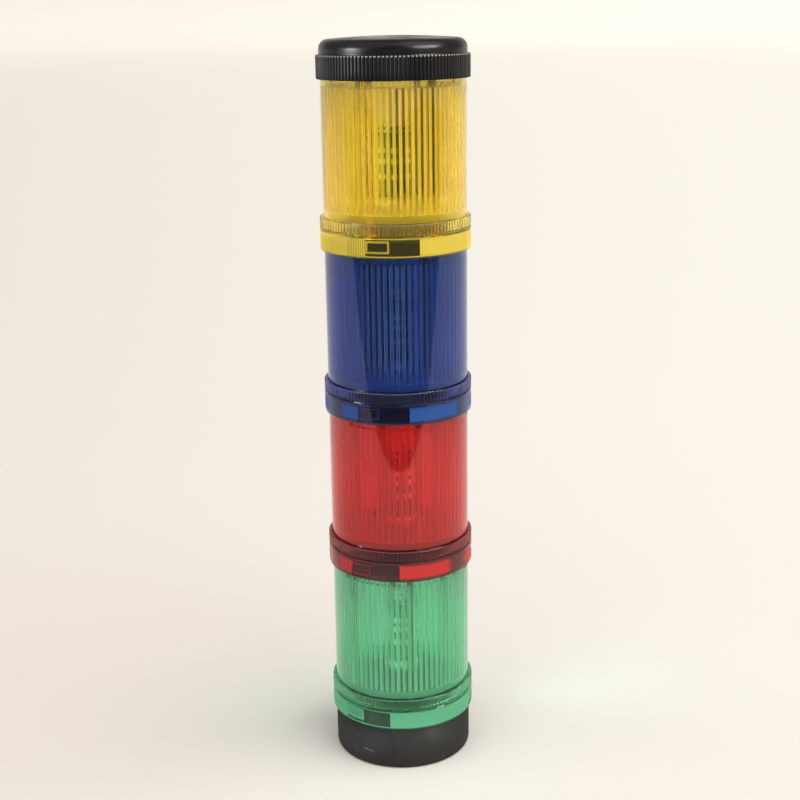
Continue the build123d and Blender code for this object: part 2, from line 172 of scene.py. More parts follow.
def grid_faces(columns, rows, closed_rows):
    """Quads of a grid that closes round the axis, and along its rows too if closed_rows is set.
    Point (i, j) has number i * rows + j, and faces look to the left of the row direction."""
    i = np.arange(columns)[:, None]
    j = np.arange(rows if closed_rows else rows - 1)[None, :]
    across = (i + 1) % columns
    along = (j + 1) % rows
    return np.stack([i * rows + j, across * rows + j, across * rows + along, i * rows + along], -1)


def sections(*groups):
    """One list of profile rows, each row a radius and a height."""
    return np.array([row for group in groups for row in group], float)


def spread(outside, inside, bearing):
    """A profile's outside and inside rows as one, their radius and height at each bearing, and
    which rows are outside."""
    profile = np.concatenate([outside, inside])
    radius = np.repeat(profile[None, :, 0], len(bearing), 0)
    height = np.repeat(profile[None, :, 1], len(bearing), 0)
    return profile, radius, height, np.arange(len(profile)) < len(outside)


def corner(r, z, radius, start, end, steps=3):
    """Profile rows on an arc about (r, z), from one angle to another, in degrees from outwards."""
    angle = np.radians(np.linspace(start, end, steps + 1))
    return [(r + radius * math.cos(a), z + radius * math.sin(a)) for a in angle]


# Lens

LENS_R = 33.25
LENS_BORE_R = 31.25
LENS_RIM = 84.0
RIM_ROUND = 0.3
RIB_COUNT = 72
RIB_PITCH = 360.0 / RIB_COUNT
RIB_DEPTH = 0.9
RIB_FOOT_ANGLE = 1.5
RIB_TOP_ANGLE = 0.66
RIB_PATTERN = [-2.5, -1.62, -1.42, -1.22, -1.02, -0.82, -0.62, 0.0, 0.62, 0.82, 1.02, 1.22, 1.42, 1.62]

# Heights over which the ribs fade out at their lower and upper ends, the plain foot under them,
# the fluted stretch that the haze covers, and the painted shade: the top of the valleys' shade,
# the dark line at the flutes' upper ends and the start of the shaded ring
RIB_LOW = (18.45, 18.95)
RIB_HIGH = (73.6, 73.95)
FOOT_ROWS = (15.2, 18.6)
FLUTED_ROWS = (18.5, 77.5)
VALLEY_TOP = 73.7
FLUTE_END = 73.85
RING_START = 74.0

# Ledge that the contact ring stands on
LEDGE_R = 30.0
LEDGE_TOP = 80.5
LEDGE_LOW = 79.5

# Bayonet slots in the outside
SLOT_FLOOR_R = 32.05
SLOT_START = -24.7
SLOT_WIDTH = 53.0
SLOT_ROWS = (74.4, 81.4)
ENTRY_WIDTH = 23.0

# Every point of the bore lies inside this radius
BORE_LIMIT_R = 32.0


def lens_surface():
    """Bearings, the radius and height of a closed profile at each bearing, the angle from each
    bearing to the nearest rib, how far the ribs reach each point, and the plain foot.
    Outside: a plain tube, with a bayonet slot where both a window in bearing and a window in
    height are open. Inside: 72 ribs, each a rounded trapezium over a step in bearing, faded
    out at their ends, and a ledge for the contact ring."""
    slot_end = SLOT_START + SLOT_WIDTH
    entry_start = slot_end - ENTRY_WIDTH
    bearing = bearings(RIB_PATTERN, RIB_COUNT, edge_pair(SLOT_START, entry_start, slot_end))
    outside = sections(
        [(32.95, WEB_TOP + SKIN), (LENS_R, 10.0)],
        [(LENS_R, z) for z in (14.0, 18.0, 30.0, 44.0, 58.0, 70.0)],
        [(LENS_R, z) for z in (74.34, 74.46, 77.0, 81.34, 81.46, 83.6)],
        corner(LENS_R - RIM_ROUND, LENS_RIM - RIM_ROUND, RIM_ROUND, 0.0, 90.0, 2),
    )
    inside = sections(
        [(LENS_BORE_R + 0.1, LENS_RIM), (LENS_BORE_R, LENS_RIM - 0.1), (LENS_BORE_R, LEDGE_TOP - SKIN)],
        [(LEDGE_R, LEDGE_TOP - SKIN), (LEDGE_R, LEDGE_LOW), (30.2, 79.3), (31.05, 78.45)],
        [(LENS_BORE_R, 78.15)],
        [(LENS_BORE_R, z) for z in (74.05, 73.85, 73.6, 70.0, 58.0, 44.0, 30.0, 19.4, 18.9, 18.65, 18.4)],
        [(LENS_BORE_R, 15.3), (LENS_BORE_R, 15.0), (LENS_BORE_R + 0.1, WEB_TOP + SKIN)],
    )
    _, radius, height, is_outside = spread(outside, inside, bearing)
    third = from_centre(bearing, 3, (SLOT_START + slot_end) / 2.0)[:, None]
    half = SLOT_WIDTH / 2.0
    run = field(third, height, (-half, half), SLOT_ROWS, EDGE_SLOPE)
    way_in = window(third, half - ENTRY_WIDTH, half, EDGE_SLOPE) * (height > SLOT_ROWS[1] - 0.1)
    slot = np.maximum(run, way_in) * is_outside
    radius = np.where(slot > 0, np.minimum(radius, LENS_R + slot * (SLOT_FLOOR_R - LENS_R)), radius)
    to_rib = np.abs(from_centre(bearing, RIB_COUNT))[:, None]
    rib = smooth_step(-to_rib, -RIB_FOOT_ANGLE, -RIB_TOP_ANGLE)
    reach = smooth_step(height, *RIB_LOW) * smooth_step(-height, -RIB_HIGH[1], -RIB_HIGH[0])
    radius = radius - RIB_DEPTH * rib * reach * ~is_outside
    foot = ~is_outside * window(height, *FOOT_ROWS, 0.3)
    return bearing, radius, height, to_rib, reach * ~is_outside, foot


# Collar

COLLAR_R = 35.0
COLLAR_BORE_R = 33.65
COLLAR_HEIGHT = 15.1
WEB_LOW = 8.3
WEB_TOP = 9.7
WEB_R = 13.8
LENS_SEAT_R = 33.5
GROOVE_R = 34.3
GROOVE_HEIGHT = 0.4

# Grip: its teeth lie outside TOOTHED_R
TOOTH_COUNT = 120
TOOTH_DEPTH = 0.45
TOOTHED_R = 34.35
V_HALF_ANGLE = 0.8
LIP_POWER = 1.15
TOOTH_PATTERN = [-1.5, -0.92, -0.72, -0.36, 0.0, 0.36, 0.72, 0.92]

# Lower band: each pocket runs from PANEL_START to PANEL_END, and its frame to FRAME_END
PANEL_START = -23.0
PANEL_END = 18.0
FRAME_END = -5.0
FRAME_RIM_ANGLE = 1.473
BAND_DEPTH = 0.45
BAND_ROWS = (1.1, 8.6)
FRAME_ROWS = (2.3, 8.0)
PANE_ROWS = (3.2, 7.1)
BARE_MIDDLE = 71.0
BARE_WIDTH = 20.0

# Bayonet lugs in the bore, and the web's slots for the bus strips
LUG_SIDES = (-33.7, -11.7)
LUG_ROWS = (1.6, 4.1)
LUG_REACH = 1.3
STRIP_BEARING = -23.0
STRIP_HALF_ANGLE = 3.17
STRIP_SLOT = (27.45, 28.55)


def teeth(bearing):
    """Depth of the V grooves between 120 teeth, with the groove's lips rounded off."""
    to_groove = np.abs(from_centre(bearing, TOOTH_COUNT))
    return TOOTH_DEPTH * np.clip(1.0 - to_groove / V_HALF_ANGLE, 0.0, 1.0) ** LIP_POWER


def collar_surface():
    """Bearings, a closed profile at each bearing, its forms as numbers from 0 to 1, and the rows
    where the web is cut through.
    The outside is a cylinder less three products of windows in bearing and height: the
    pockets of the band, but for the frame left standing in each, and the V grooves of the
    grip. The bore is a cylinder less the lugs, which are one more product of two windows."""
    pane_sides = (PANEL_START + FRAME_RIM_ANGLE, FRAME_END - FRAME_RIM_ANGLE)
    edges = edge_pair(PANEL_START, *pane_sides, FRAME_END, PANEL_END, *LUG_SIDES)
    strips = [STRIP_BEARING + k * 60.0 + side * STRIP_HALF_ANGLE for k in (0, 1) for side in (-1, 1)]
    bearing = bearings(TOOTH_PATTERN, TOOTH_COUNT, edges + strips)
    levels = sorted(BAND_ROWS + FRAME_ROWS + PANE_ROWS)
    band_rows = [level + side * ROW_SLOPE / 2.0 for level in levels for side in (-1, 1)]
    outside = sections(
        [(COLLAR_BORE_R + 0.15, 0.0)],
        corner(COLLAR_R - 0.45, 0.45, 0.45, -90.0, 0.0, 3),
        [(COLLAR_R, z) for z in band_rows],
        [(COLLAR_R, 9.55), (COLLAR_R - 0.12, WEB_TOP)],
        [(GROOVE_R, WEB_TOP), (GROOVE_R, WEB_TOP + GROOVE_HEIGHT)],
        [(COLLAR_R - 0.15, WEB_TOP + GROOVE_HEIGHT), (COLLAR_R, WEB_TOP + 0.55), (COLLAR_R, 12.5)],
        corner(COLLAR_R - 0.5, COLLAR_HEIGHT - 0.5, 0.5, 0.0, 90.0, 4),
    )
    inside = sections(
        [(LENS_SEAT_R + 0.15, COLLAR_HEIGHT), (LENS_SEAT_R, COLLAR_HEIGHT - 0.15), (LENS_SEAT_R, 9.9)],
        [(LENS_SEAT_R - 0.1, WEB_TOP - SKIN / 2)],
        [(r, WEB_TOP - SKIN / 2) for r in (STRIP_SLOT[1], STRIP_SLOT[0], 20.0, WEB_R)],
        [(r, WEB_LOW + SKIN) for r in (WEB_R, 20.0, STRIP_SLOT[0], STRIP_SLOT[1])],
        [(COLLAR_BORE_R - 0.1, WEB_LOW + SKIN), (COLLAR_BORE_R, WEB_LOW - 0.1)],
        [(COLLAR_BORE_R, z) for z in (4.15, 4.05, 1.65, 1.55, 0.15)],
    )
    profile, radius, height, is_outside = spread(outside, inside, bearing)
    third = from_centre(bearing, 3)[:, None]
    pocket = field(third, height, (PANEL_START, PANEL_END), BAND_ROWS)
    frame_field = field(third, height, (PANEL_START, FRAME_END), FRAME_ROWS)
    pane = field(third, height, pane_sides, PANE_ROWS)
    cut = np.maximum(pocket * (1.0 - frame_field), pane * frame_field)
    radius = radius - BAND_DEPTH * cut * is_outside
    raised = (1.0 - cut) * window(height, 0.6, 9.4, 0.3) * is_outside
    to_bare = from_centre(bearing, 3, BARE_MIDDLE)[:, None]
    bare = window(to_bare, -BARE_WIDTH / 2.0, BARE_WIDTH / 2.0, 6.0)
    grip = is_outside * (height > WEB_TOP + 0.3) * (radius > TOOTHED_R)
    radius = radius - teeth(bearing)[:, None] * grip
    is_bore = ~is_outside & (height < WEB_LOW - 0.05)
    radius = radius - LUG_REACH * field(third, height, LUG_SIDES, LUG_ROWS) * is_bore
    slot_rows = [
        int(np.flatnonzero((profile[:, 0] == r) & (np.abs(profile[:, 1] - z) < 0.1))[0])
        for r, z in ((STRIP_SLOT[1], WEB_TOP), (STRIP_SLOT[0], WEB_TOP), (STRIP_SLOT[0], WEB_LOW),
                     (STRIP_SLOT[1], WEB_LOW))
    ]
    patch = window(third, PATCH_START, PANEL_START, 0.5) * window(height, *BAND_ROWS, 0.3)
    panel = raised * (1.0 - frame_field)
    forms = {
        "panel": panel, "inner_panel": panel * window(height, 1.7, 8.3, 1.0) * (1.0 - bare),
        "frame": raised * frame_field, "pocket": cut * is_outside * (1.0 - frame_field),
        "pane": cut * is_outside * frame_field,
        "grip": grip * np.ones_like(radius), "patch": patch * is_outside,
    }
    return bearing, radius, height, forms, slot_rows


def collar_faces(bearing, rows, slot_rows):
    """The grid's quads, with six slots through the web: their quads are left out of its top
    and underside, and four walls join the two openings."""
    columns = len(bearing)
    quads = grid_faces(columns, rows, True)
    top_out, top_in, low_in, low_out = slot_rows
    middle = (bearing + np.roll(bearing, -1) + 360.0 * (np.roll(bearing, -1) < bearing)) / 2.0
    in_slot = np.abs(from_centre(middle, 6, STRIP_BEARING)) < STRIP_HALF_ANGLE
    keep = np.ones(quads.shape[:2], bool)
    keep[in_slot, top_out] = False
    keep[in_slot, low_in] = False
    faces = [quads[keep]]
    i = np.flatnonzero(in_slot)
    across = (i + 1) % columns
    for first, second in ((top_out, low_out), (low_in, top_in)):
        faces.append(np.stack([i * rows + first, across * rows + first,
                               across * rows + second, i * rows + second], -1))
    starts = i[~in_slot[(i - 1) % columns]]
    ends = across[~in_slot[across]]
    ring = np.array([top_out, top_in, low_in, low_out])
    faces.append(starts[:, None] * rows + ring[None, ::-1])
    faces.append(ends[:, None] * rows + ring[None, :])
    return np.concatenate(faces)


# Cap

CAP_TOP = 18.6
HOLLOW_TOP = 16.4
CROWN_DROP = 1.2
SHOULDER_R = 29.2
DOME_R = 33.6
HOLLOW_R = 31.05

# Painted highlights, as pale beads at the teeth's upper ends: the radius that they lie outside of, and
# their heights
BEAD_R = 34.65
BEAD_ROWS = (10.15, 10.58)


def crown(top, radii):
    """Profile rows of a low crown, which falls away from top with the square of the radius."""
    return [(radius, top - CROWN_DROP * (radius / SHOULDER_R) ** 2) for radius in radii]


def cap_surface():
    """Bearings, an open profile at each bearing from the crown down the outside and up the
    hollow, and its marks: the toothed ring is dulled, and beads at the teeth's ends get a painted
    highlight.
    Three lugs stand in the bore, as in the collars."""
    bearing = bearings(TOOTH_PATTERN, TOOTH_COUNT, edge_pair(*LUG_SIDES))
    outside = sections(
        crown(CAP_TOP, (4.0, 10.0, 16.0, 21.0, 25.0, 27.6)), corner(SHOULDER_R, 13.0, 4.4, 84.0, 0.0, 9),
        [(DOME_R, 11.2)], corner(DOME_R + 0.25, 10.85, 0.25, 180.0, 270.0, 2),
        corner(COLLAR_R - 0.4, 10.2, 0.4, 90.0, 0.0, 4),
        [(COLLAR_R, 9.9), (COLLAR_R, 7.0), (COLLAR_R, 3.5)],
        corner(COLLAR_R - 0.4, 0.4, 0.4, 0.0, -90.0, 4),
    )
    inside = sections(
        [(COLLAR_BORE_R + 0.15, 0.0), (COLLAR_BORE_R, 0.15)],
        [(COLLAR_BORE_R, z) for z in (1.55, 1.65, 4.05, 4.15, WEB_LOW - SKIN)],
        [(HOLLOW_R, WEB_LOW - SKIN), (HOLLOW_R, 11.9)],
        corner(27.75, 11.9, 3.3, 10.0, 84.0, 5), crown(HOLLOW_TOP, (22.0, 14.0, 5.0)),
    )
    profile, radius, height, is_outside = spread(outside, inside, bearing)
    grip = is_outside * (radius > TOOTHED_R) * (height < 10.65)
    radius = radius - teeth(bearing)[:, None] * grip
    third = from_centre(bearing, 3)[:, None]
    is_bore = ~is_outside & (height < WEB_LOW - 0.1)
    radius = radius - LUG_REACH * field(third, height, LUG_SIDES, LUG_ROWS) * is_bore
    on_tooth = np.abs(from_centre(bearing, TOOTH_COUNT))[:, None] > V_HALF_ANGLE
    on_edge = (profile[:, 0] > BEAD_R) * (height > BEAD_ROWS[0]) * (height < BEAD_ROWS[1])
    # The beads' mark paints a pale highlight on the teeth's upper ends
    return bearing, radius, height, {"blur": 1.0 * grip, "wear_and_highlight": 1.0 * (is_outside * on_edge * on_tooth)}


def with_poles(points, columns, rows, first_pole, last_pole):
    """Closes a grid's first and last row on a point each, with a fan of triangles."""
    quads = grid_faces(columns, rows, False).reshape(-1, 4).tolist()
    every = np.concatenate([points.reshape(-1, 3), [first_pole, last_pole]])
    i = np.arange(columns)
    across = (i + 1) % columns
    pole = np.full(columns, columns * rows)
    end = rows - 1
    top = np.stack([pole, across * rows, i * rows], -1)
    bottom = np.stack([pole + 1, i * rows + end, across * rows + end], -1)
    return every, quads + top.tolist() + bottom.tolist()


# Finishes

class Term:
    """A shader socket that stands in a formula: each operator adds one Math node."""

    def __init__(self, finish, socket):
        self.finish = finish
        self.socket = socket

    def join(self, operation, first, second=0.0):
        return self.finish.add("ShaderNodeMath", {"operation": operation}, {0: first, 1: second})

    def __add__(self, other):
        return self.join("ADD", self, other)

    __radd__ = __add__

    def __sub__(self, other):
        return self.join("SUBTRACT", self, other)

    def __rsub__(self, other):
        return self.join("SUBTRACT", other, self)

    def __mul__(self, other):
        return self.join("MULTIPLY", self, other)

    __rmul__ = __mul__

    def __truediv__(self, other):
        return self.join("DIVIDE", self, other)

    def __abs__(self):
        return self.join("ABSOLUTE", self)


class Finish:
    """One material, its nodes and the few patterns that the formulas share."""

    def __init__(self, name):
        self.material = bpy.data.materials.new(name)
        self.material.use_nodes = True
        self.tree = self.material.node_tree
        self.tree.nodes.clear()
        self.position = self.add("ShaderNodeTexCoord", {}, {}, "Object")

    def add(self, kind, settings=None, sockets=None, output=0):
        """A node of a kind, with its settings first and then its sockets' values or links."""
        node = self.tree.nodes.new(kind)
        for name, value in (settings or {}).items():
            setattr(node, name, value)
        for key, value in (sockets or {}).items():
            if isinstance(value, Term):
                self.tree.links.new(value.socket, node.inputs[key])
            else:
                node.inputs[key].default_value = value
        return Term(self, node.outputs[output])

    def axis(self, name):
        return self.add("ShaderNodeSeparateXYZ", {}, {0: self.position}, name)

    def mark(self, name):
        """The number that a piece's mesh carries under a name, 0 where it has none."""
        return self.add("ShaderNodeAttribute", {"attribute_name": name}, {}, "Fac")

    def bearing(self):
        """The bearing about the axis, in radians."""
        return self.axis("X").join("ARCTAN2", self.axis("X"), 0.0 - self.axis("Y"))

    def lines(self, count):
        """A wave from 0 to 1 with a number of crests round the axis."""
        wave = self.add("ShaderNodeMath", {"operation": "SINE"}, {0: self.bearing() * count})
        return wave * 0.5 + 0.5

    def stretched(self, scale):
        """Object coordinates with each axis multiplied by its own number."""
        return self.add(
            "ShaderNodeVectorMath", {"operation": "MULTIPLY"}, {0: self.position, 1: scale})

    def noise(self, size_mm, detail=3.0, stretch=None, rough=0.5):
        """Soft noise from 0 to 1 with marks of about a size in millimetres."""
        vector = self.stretched(stretch) if stretch else self.position
        return self.add("ShaderNodeTexNoise", {"noise_dimensions": "3D"}, {
            "Vector": vector, "Scale": 1000.0 / size_mm, "Detail": detail, "Roughness": rough})

    def step(self, value, low, high, start=0.0, end=1.0):
        """A smooth step from start to end as the value goes from low to high."""
        return self.add("ShaderNodeMapRange", {"interpolation_type": "SMOOTHSTEP"}, {
            "Value": value, "From Min": low, "From Max": high, "To Min": start, "To Max": end})

    def mix(self, factor, first, second):
        """Two colours by a factor."""
        return self.add("ShaderNodeMix", {"data_type": "RGBA"}, {
            0: factor, 6: colour(first), 7: colour(second)}, 2)

    def bump(self, height, distance_mm, strength=1.0):
        return self.add("ShaderNodeBump", {}, {
            "Height": height, "Strength": strength, "Distance": distance_mm * MM})

    def scratches(self, size_mm, stretch, width=0.006):
        """Thin lines where a stretched noise crosses one value, kept to patches of a second noise."""
        line = abs(self.noise(size_mm, 1.0, stretch) - 0.5)
        patch = self.step(self.noise(size_mm * 0.8, 2.0), 0.54, 0.66)
        return self.step(line, width, 0.0) * patch

    def scuff(self, start, end, low, high):
        """A thin broken line round the axis, from one bearing and height to another, in degrees
        and millimetres."""
        along = (self.bearing() * (180.0 / math.pi) - start) / (end - start)
        off_line = abs(self.axis("Z") / MM - low - along * (high - low))
        ends = self.step(abs(along - 0.5), 0.5, 0.44)
        broken = self.step(self.noise(1.1, 2.0), 0.44, 0.56)
        return self.step(off_line, 0.2, 0.06) * ends * broken * 0.6

    def shader(self, **sockets):
        return self.add("ShaderNodeBsdfPrincipled", {}, {
            name.replace("_", " "): colour(value) for name, value in sockets.items()})

    def finish(self, shader):
        output = self.tree.nodes.new("ShaderNodeOutputMaterial")
        self.tree.links.new(shader.socket, output.inputs["Surface"])
        return self.material


def colour(value):
    """A colour with its fourth number, and anything else as it is."""
    return (*value, 1.0) if isinstance(value, tuple) and len(value) == 3 else value


def clear_plastic(name, tint, deep, lit, dark, through=0.5):
    """Clear tinted moulding: a polished skin with faint flow waves and a little dust haze.
    Where the mark glow is set, part of it scatters light in the colour lit, and the mark lined
    breaks that up into fine upright lines. The mark shade paints shade, turning the skin to the
    colour dark, and the mark blur dulls it. Lamps shine through it, tinted, as shadow rays meet a
    plain filter: half a wall's tint at each face."""
    look = Finish(name)
    flow = look.noise(26.0, 2.0, (1.0, 1.0, 0.35))
    haze = look.noise(7.0, 4.0)
    marks = look.scratches(16.0, (1.0, 1.0, 0.22), 0.004)
    skin = look.mix(look.step(flow, 0.35, 0.7), tint, deep)
    # Painted shade: where the mark shade is set, the skin turns to the colour dark
    skin = look.mix(look.mark("shade"), skin, dark)
    waves = look.bump(flow * 0.7 + haze * 0.3 - marks * 0.5, 0.05, 0.35)
    glass = look.shader(
        Base_Color=skin, IOR=1.49, Transmission_Weight=1.0, Normal=waves,
        Roughness=look.step(haze, 0.35, 0.75, 0.02, 0.06) + marks * 0.2 + look.mark("blur") * 0.2,
    )
    glow = look.mark("glow") + look.mark("lined") * look.lines(LINE_COUNT)
    scatter = look.add("ShaderNodeMixShader", {}, {
        0: through, 1: look.add("ShaderNodeBsdfDiffuse", {}, {"Color": colour(lit)}),
        2: look.add("ShaderNodeBsdfTranslucent", {}, {"Color": colour(lit)})})
    body = look.add("ShaderNodeMixShader", {}, {0: glow, 1: glass, 2: scatter})
    half_tint = tuple(math.sqrt(part) for part in tint)
    filtered = look.add("ShaderNodeBsdfTransparent", {}, {"Color": colour(half_tint)})
    is_shadow = look.add("ShaderNodeLightPath", {}, {}, "Is Shadow Ray")
    return look.finish(look.add("ShaderNodeMixShader", {}, {0: is_shadow, 1: body, 2: filtered}))


def moulded(name, base, wear_and_highlight, rough=(0.32, 0.5), grain_mm=0.35, depth_mm=0.02, sheen=0.5,
            dust=0.0, scuff=None):
    """Opaque moulding: fine spark-eroded grain, soft shade changes, a few pale scuffs and specks
    of dust. A mark paints a pale highlight on an edge, and the mark blur makes the skin duller."""
    look = Finish(name)
    grain = look.noise(grain_mm, 3.0)
    cloud = look.noise(14.0, 3.0)
    marks = look.scratches(9.0, (1.0, 1.0, 0.3))
    shade = look.mix(look.step(cloud, 0.35, 0.7) * 0.5 + marks * 0.5, base, wear_and_highlight)
    # Pale specks of dust, and a painted highlight where the beads' mark is set
    pale = look.step(look.noise(1.2, 0.0), 0.84, 0.88) * dust + look.mark("wear_and_highlight")
    if scuff:
        pale = pale + look.scuff(*scuff)
    shade = look.mix(pale, shade, (0.42, 0.40, 0.37))
    return look.finish(look.shader(
        Base_Color=shade, IOR=1.5, Specular_IOR_Level=sheen, Normal=look.bump(grain - marks, depth_mm, 0.5),
        Roughness=look.step(cloud, 0.3, 0.7, *rough) + grain * 0.06 + look.mark("blur") * 0.12,
    ))


def metal(name, base, tarnish, rough=(0.22, 0.42), along=(1.0, 1.0, 0.04)):
    """Plated or stamped metal: draw lines along one way and dull patches."""
    look = Finish(name)
    lines = look.noise(0.25, 2.0, along)
    patch = look.noise(5.0, 4.0)
    return look.finish(look.shader(
        Base_Color=look.mix(look.step(patch, 0.42, 0.68), base, tarnish), Metallic=1.0,
        Roughness=look.step(patch, 0.3, 0.7, *rough) + lines * 0.08,
        Normal=look.bump(lines, 0.01, 0.5),
    ))


def board(name):
    """Solder mask over traces: a network of slightly raised lines and bright pads."""
    look = Finish(name)
    cells = look.add("ShaderNodeTexVoronoi", {"feature": "DISTANCE_TO_EDGE"}, {
        "Vector": look.stretched((1.0, 1.0, 0.6)), "Scale": 420.0}, "Distance")
    trace = look.step(cells, 0.12, 0.06)
    pads = look.add("ShaderNodeTexVoronoi", {"feature": "F1"}, {
        "Vector": look.position, "Scale": 330.0}, "Distance")
    pad = look.step(pads, 0.2, 0.14)
    mask = look.mix(trace, (0.010, 0.085, 0.035), (0.03, 0.20, 0.08))
    return look.finish(look.shader(
        Base_Color=look.mix(pad, mask, (0.62, 0.60, 0.52)), Roughness=look.step(pad, 0.0, 1.0, 0.28, 0.4),
        Metallic=pad * 0.8, Normal=look.bump(trace + pad * 0.5, 0.03, 0.6),
    ))


def chip(name):
    """Phosphor faces in a pale housing, with the dark dies faintly through the resin."""
    look = Finish(name)
    dots = look.add("ShaderNodeTexVoronoi", {"feature": "F1"}, {
        "Vector": look.position, "Scale": 800.0}, "Distance")
    cloud = look.noise(1.6, 3.0)
    face = look.mix(look.step(cloud, 0.4, 0.62), (0.86, 0.80, 0.42), (0.93, 0.90, 0.78))
    return look.finish(look.shader(
        Base_Color=look.mix(look.step(dots, 0.16, 0.1), face, (0.35, 0.30, 0.12)),
        Roughness=look.step(cloud, 0.3, 0.7, 0.12, 0.3), IOR=1.5, Normal=look.bump(cloud, 0.02, 0.4),
    ))


def floor_finish(name):
    """Seamless studio paper: warm white with a very faint tooth, painted shade that darkens it to
    the left and where it rises, and a touch redder near the camera."""
    look = Finish(name)
    tooth = look.noise(1.4, 4.0)
    # Painted fall-off of the light: the paper is darker to the left
    aside = look.axis("X") / (abs(look.axis("Y")) + 1.0)
    side = look.step(aside, -0.4, 0.4)
    near = look.mix(side, (0.775, 0.71, 0.675), (0.875, 0.84, 0.79))
    shade = look.mix(side, (0.755, 0.71, 0.67), (0.875, 0.845, 0.785))
    paper = look.mix(look.step(look.axis("Y"), -0.1, 1.2), near, shade)
    # Painted shade where the paper rises into the backdrop
    risen = look.mix(look.step(look.axis("Z"), 0.0, 1.6), paper, (0.74, 0.71, 0.66))
    return look.finish(look.shader(
        Base_Color=risen, Roughness=0.9 + tooth * 0.05, Specular_IOR_Level=0.1,
        Normal=look.bump(tooth, 0.03, 0.2),
    ))


# One wall's tint, the same where the plastic is thicker, the colour of scattered light and the
# colour of painted shade
TINTS = {
    "green": ((0.48, 0.84, 0.66), (0.40, 0.80, 0.58), (0.33, 0.66, 0.46), (0.12, 0.44, 0.27)),
    "red": ((0.92, 0.19, 0.17), (0.88, 0.15, 0.14), (0.60, 0.085, 0.08), (0.40, 0.05, 0.05)),
    "blue": ((0.14, 0.26, 0.56), (0.10, 0.21, 0.49), (0.135, 0.225, 0.53), (0.003, 0.006, 0.025)),
    "yellow": ((0.99, 0.90, 0.30), (0.97, 0.86, 0.24), (0.76, 0.60, 0.18), (0.035, 0.015, 0.005)),
}
COLLAR_TINTS = {
    "green": ((0.28, 0.74, 0.48), (0.22, 0.68, 0.41), (0.19, 0.62, 0.37), (0.10, 0.36, 0.22)),
    "red": ((0.36, 0.04, 0.05), (0.29, 0.03, 0.04), (0.90, 0.07, 0.065), (0.16, 0.05, 0.05)),
    "blue": ((0.07, 0.11, 0.42), (0.05, 0.08, 0.36), (0.05, 0.15, 0.50), (0.02, 0.03, 0.09)),
    "yellow": ((0.97, 0.82, 0.18), (0.95, 0.78, 0.14), (1.0, 0.80, 0.12), (0.27, 0.26, 0.14)),
}
lens_clear = {unit: clear_plastic(f"{unit}_lens_plastic", *TINTS[unit]) for unit in UNITS}
collar_clear = {
    unit: clear_plastic(f"{unit}_collar_plastic", *COLLAR_TINTS[unit], through=0.3) for unit in UNITS
}
FINISHES = {
    "base_plastic": moulded(
        "base_moulding", (0.013, 0.012, 0.010), (0.024, 0.021, 0.019), (0.6, 0.75), sheen=0.25,
        dust=0.3, scuff=(-36.0, -26.0, 8.4, 7.7)),
    "cap_plastic": moulded(
        "cap_moulding", (0.006, 0.006, 0.006), (0.013, 0.012, 0.011), (0.16, 0.3),
        grain_mm=0.9, depth_mm=0.05, sheen=0.18, dust=0.2),
    "black_plastic": moulded("black_moulding", (0.012, 0.012, 0.012), (0.030, 0.030, 0.030)),
    "ring_plastic": moulded("ring_moulding", (0.014, 0.014, 0.013), (0.030, 0.029, 0.028)),
    "white_plastic": moulded("white_moulding", (0.72, 0.72, 0.68), (0.80, 0.79, 0.75), (0.25, 0.4)),
    "board_green": board("solder_mask"),
    "chip_face": chip("chip_face"),
    "strip_metal": metal("stamped_strip", (0.24, 0.16, 0.08), (0.11, 0.07, 0.035)),
    "shell_metal": metal("plated_shell", (0.62, 0.61, 0.58), (0.42, 0.41, 0.39), along=(1.0, 1.0, 6.0)),
    "screw_metal": metal("zinc_screw", (0.60, 0.61, 0.62), (0.42, 0.42, 0.42), along=(1.0, 6.0, 1.0)),
    "terminal_plastic": moulded("terminal_moulding", (0.28, 0.31, 0.29), (0.36, 0.39, 0.37)),
    "rubber": moulded("soft_rubber", (0.016, 0.016, 0.016), (0.028, 0.028, 0.027), (0.6, 0.8), 0.6, 0.03),
}

NODE_SLOTS = {
    "seal": "rubber", "contact_ring": "ring_plastic", "bus_strips": "strip_metal",
    "contact_carrier": "black_plastic", "lamp_socket": "black_plastic", "lamp_shell": "shell_metal",
    "lamp_core": "white_plastic", "lamp_boards": "board_green", "lamp_chips": "chip_face",
}
BASE_SLOTS = {
    "base_contact_ring": "ring_plastic", "base_contacts": "strip_metal",
    "terminal_block": "terminal_plastic", "terminal_screws": "screw_metal", "foot_gasket": "rubber",
    "cap_seal": "rubber",
}


def dress(node, slot):
    """Gives a carried-over node its finish."""
    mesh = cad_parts[node].data
    mesh.materials.clear()
    mesh.materials.append(FINISHES[slot])


for unit in UNITS:
    for part, slot in NODE_SLOTS.items():
        dress(f"{unit}_{part}", slot)
for node, slot in BASE_SLOTS.items():
    dress(node, slot)


# Pieces

def stand_in(piece, body, node):
    """The piece rides on a body and stands for a node, whose solid is hidden."""
    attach(piece, body)
    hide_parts(node)


lens_bearing, lens_radius, lens_height, to_rib, reach, foot = lens_surface()
in_bore = lens_radius < BORE_LIMIT_R
fluted_bore = in_bore & (lens_height > FLUTED_ROWS[0]) & (lens_height < FLUTED_ROWS[1])
rib_number = np.round(lens_bearing / RIB_PITCH).astype(int) % RIB_COUNT
valley_number = np.floor(lens_bearing / RIB_PITCH).astype(int) % RIB_COUNT
collar_bearing, collar_radius, collar_height, collar_forms, slot_rows = collar_surface()
lens_quads = grid_faces(len(lens_bearing), lens_radius.shape[1], True).reshape(-1, 4)
collar_quads = collar_faces(collar_bearing, collar_radius.shape[1], slot_rows)

draw = np.random.default_rng(11)


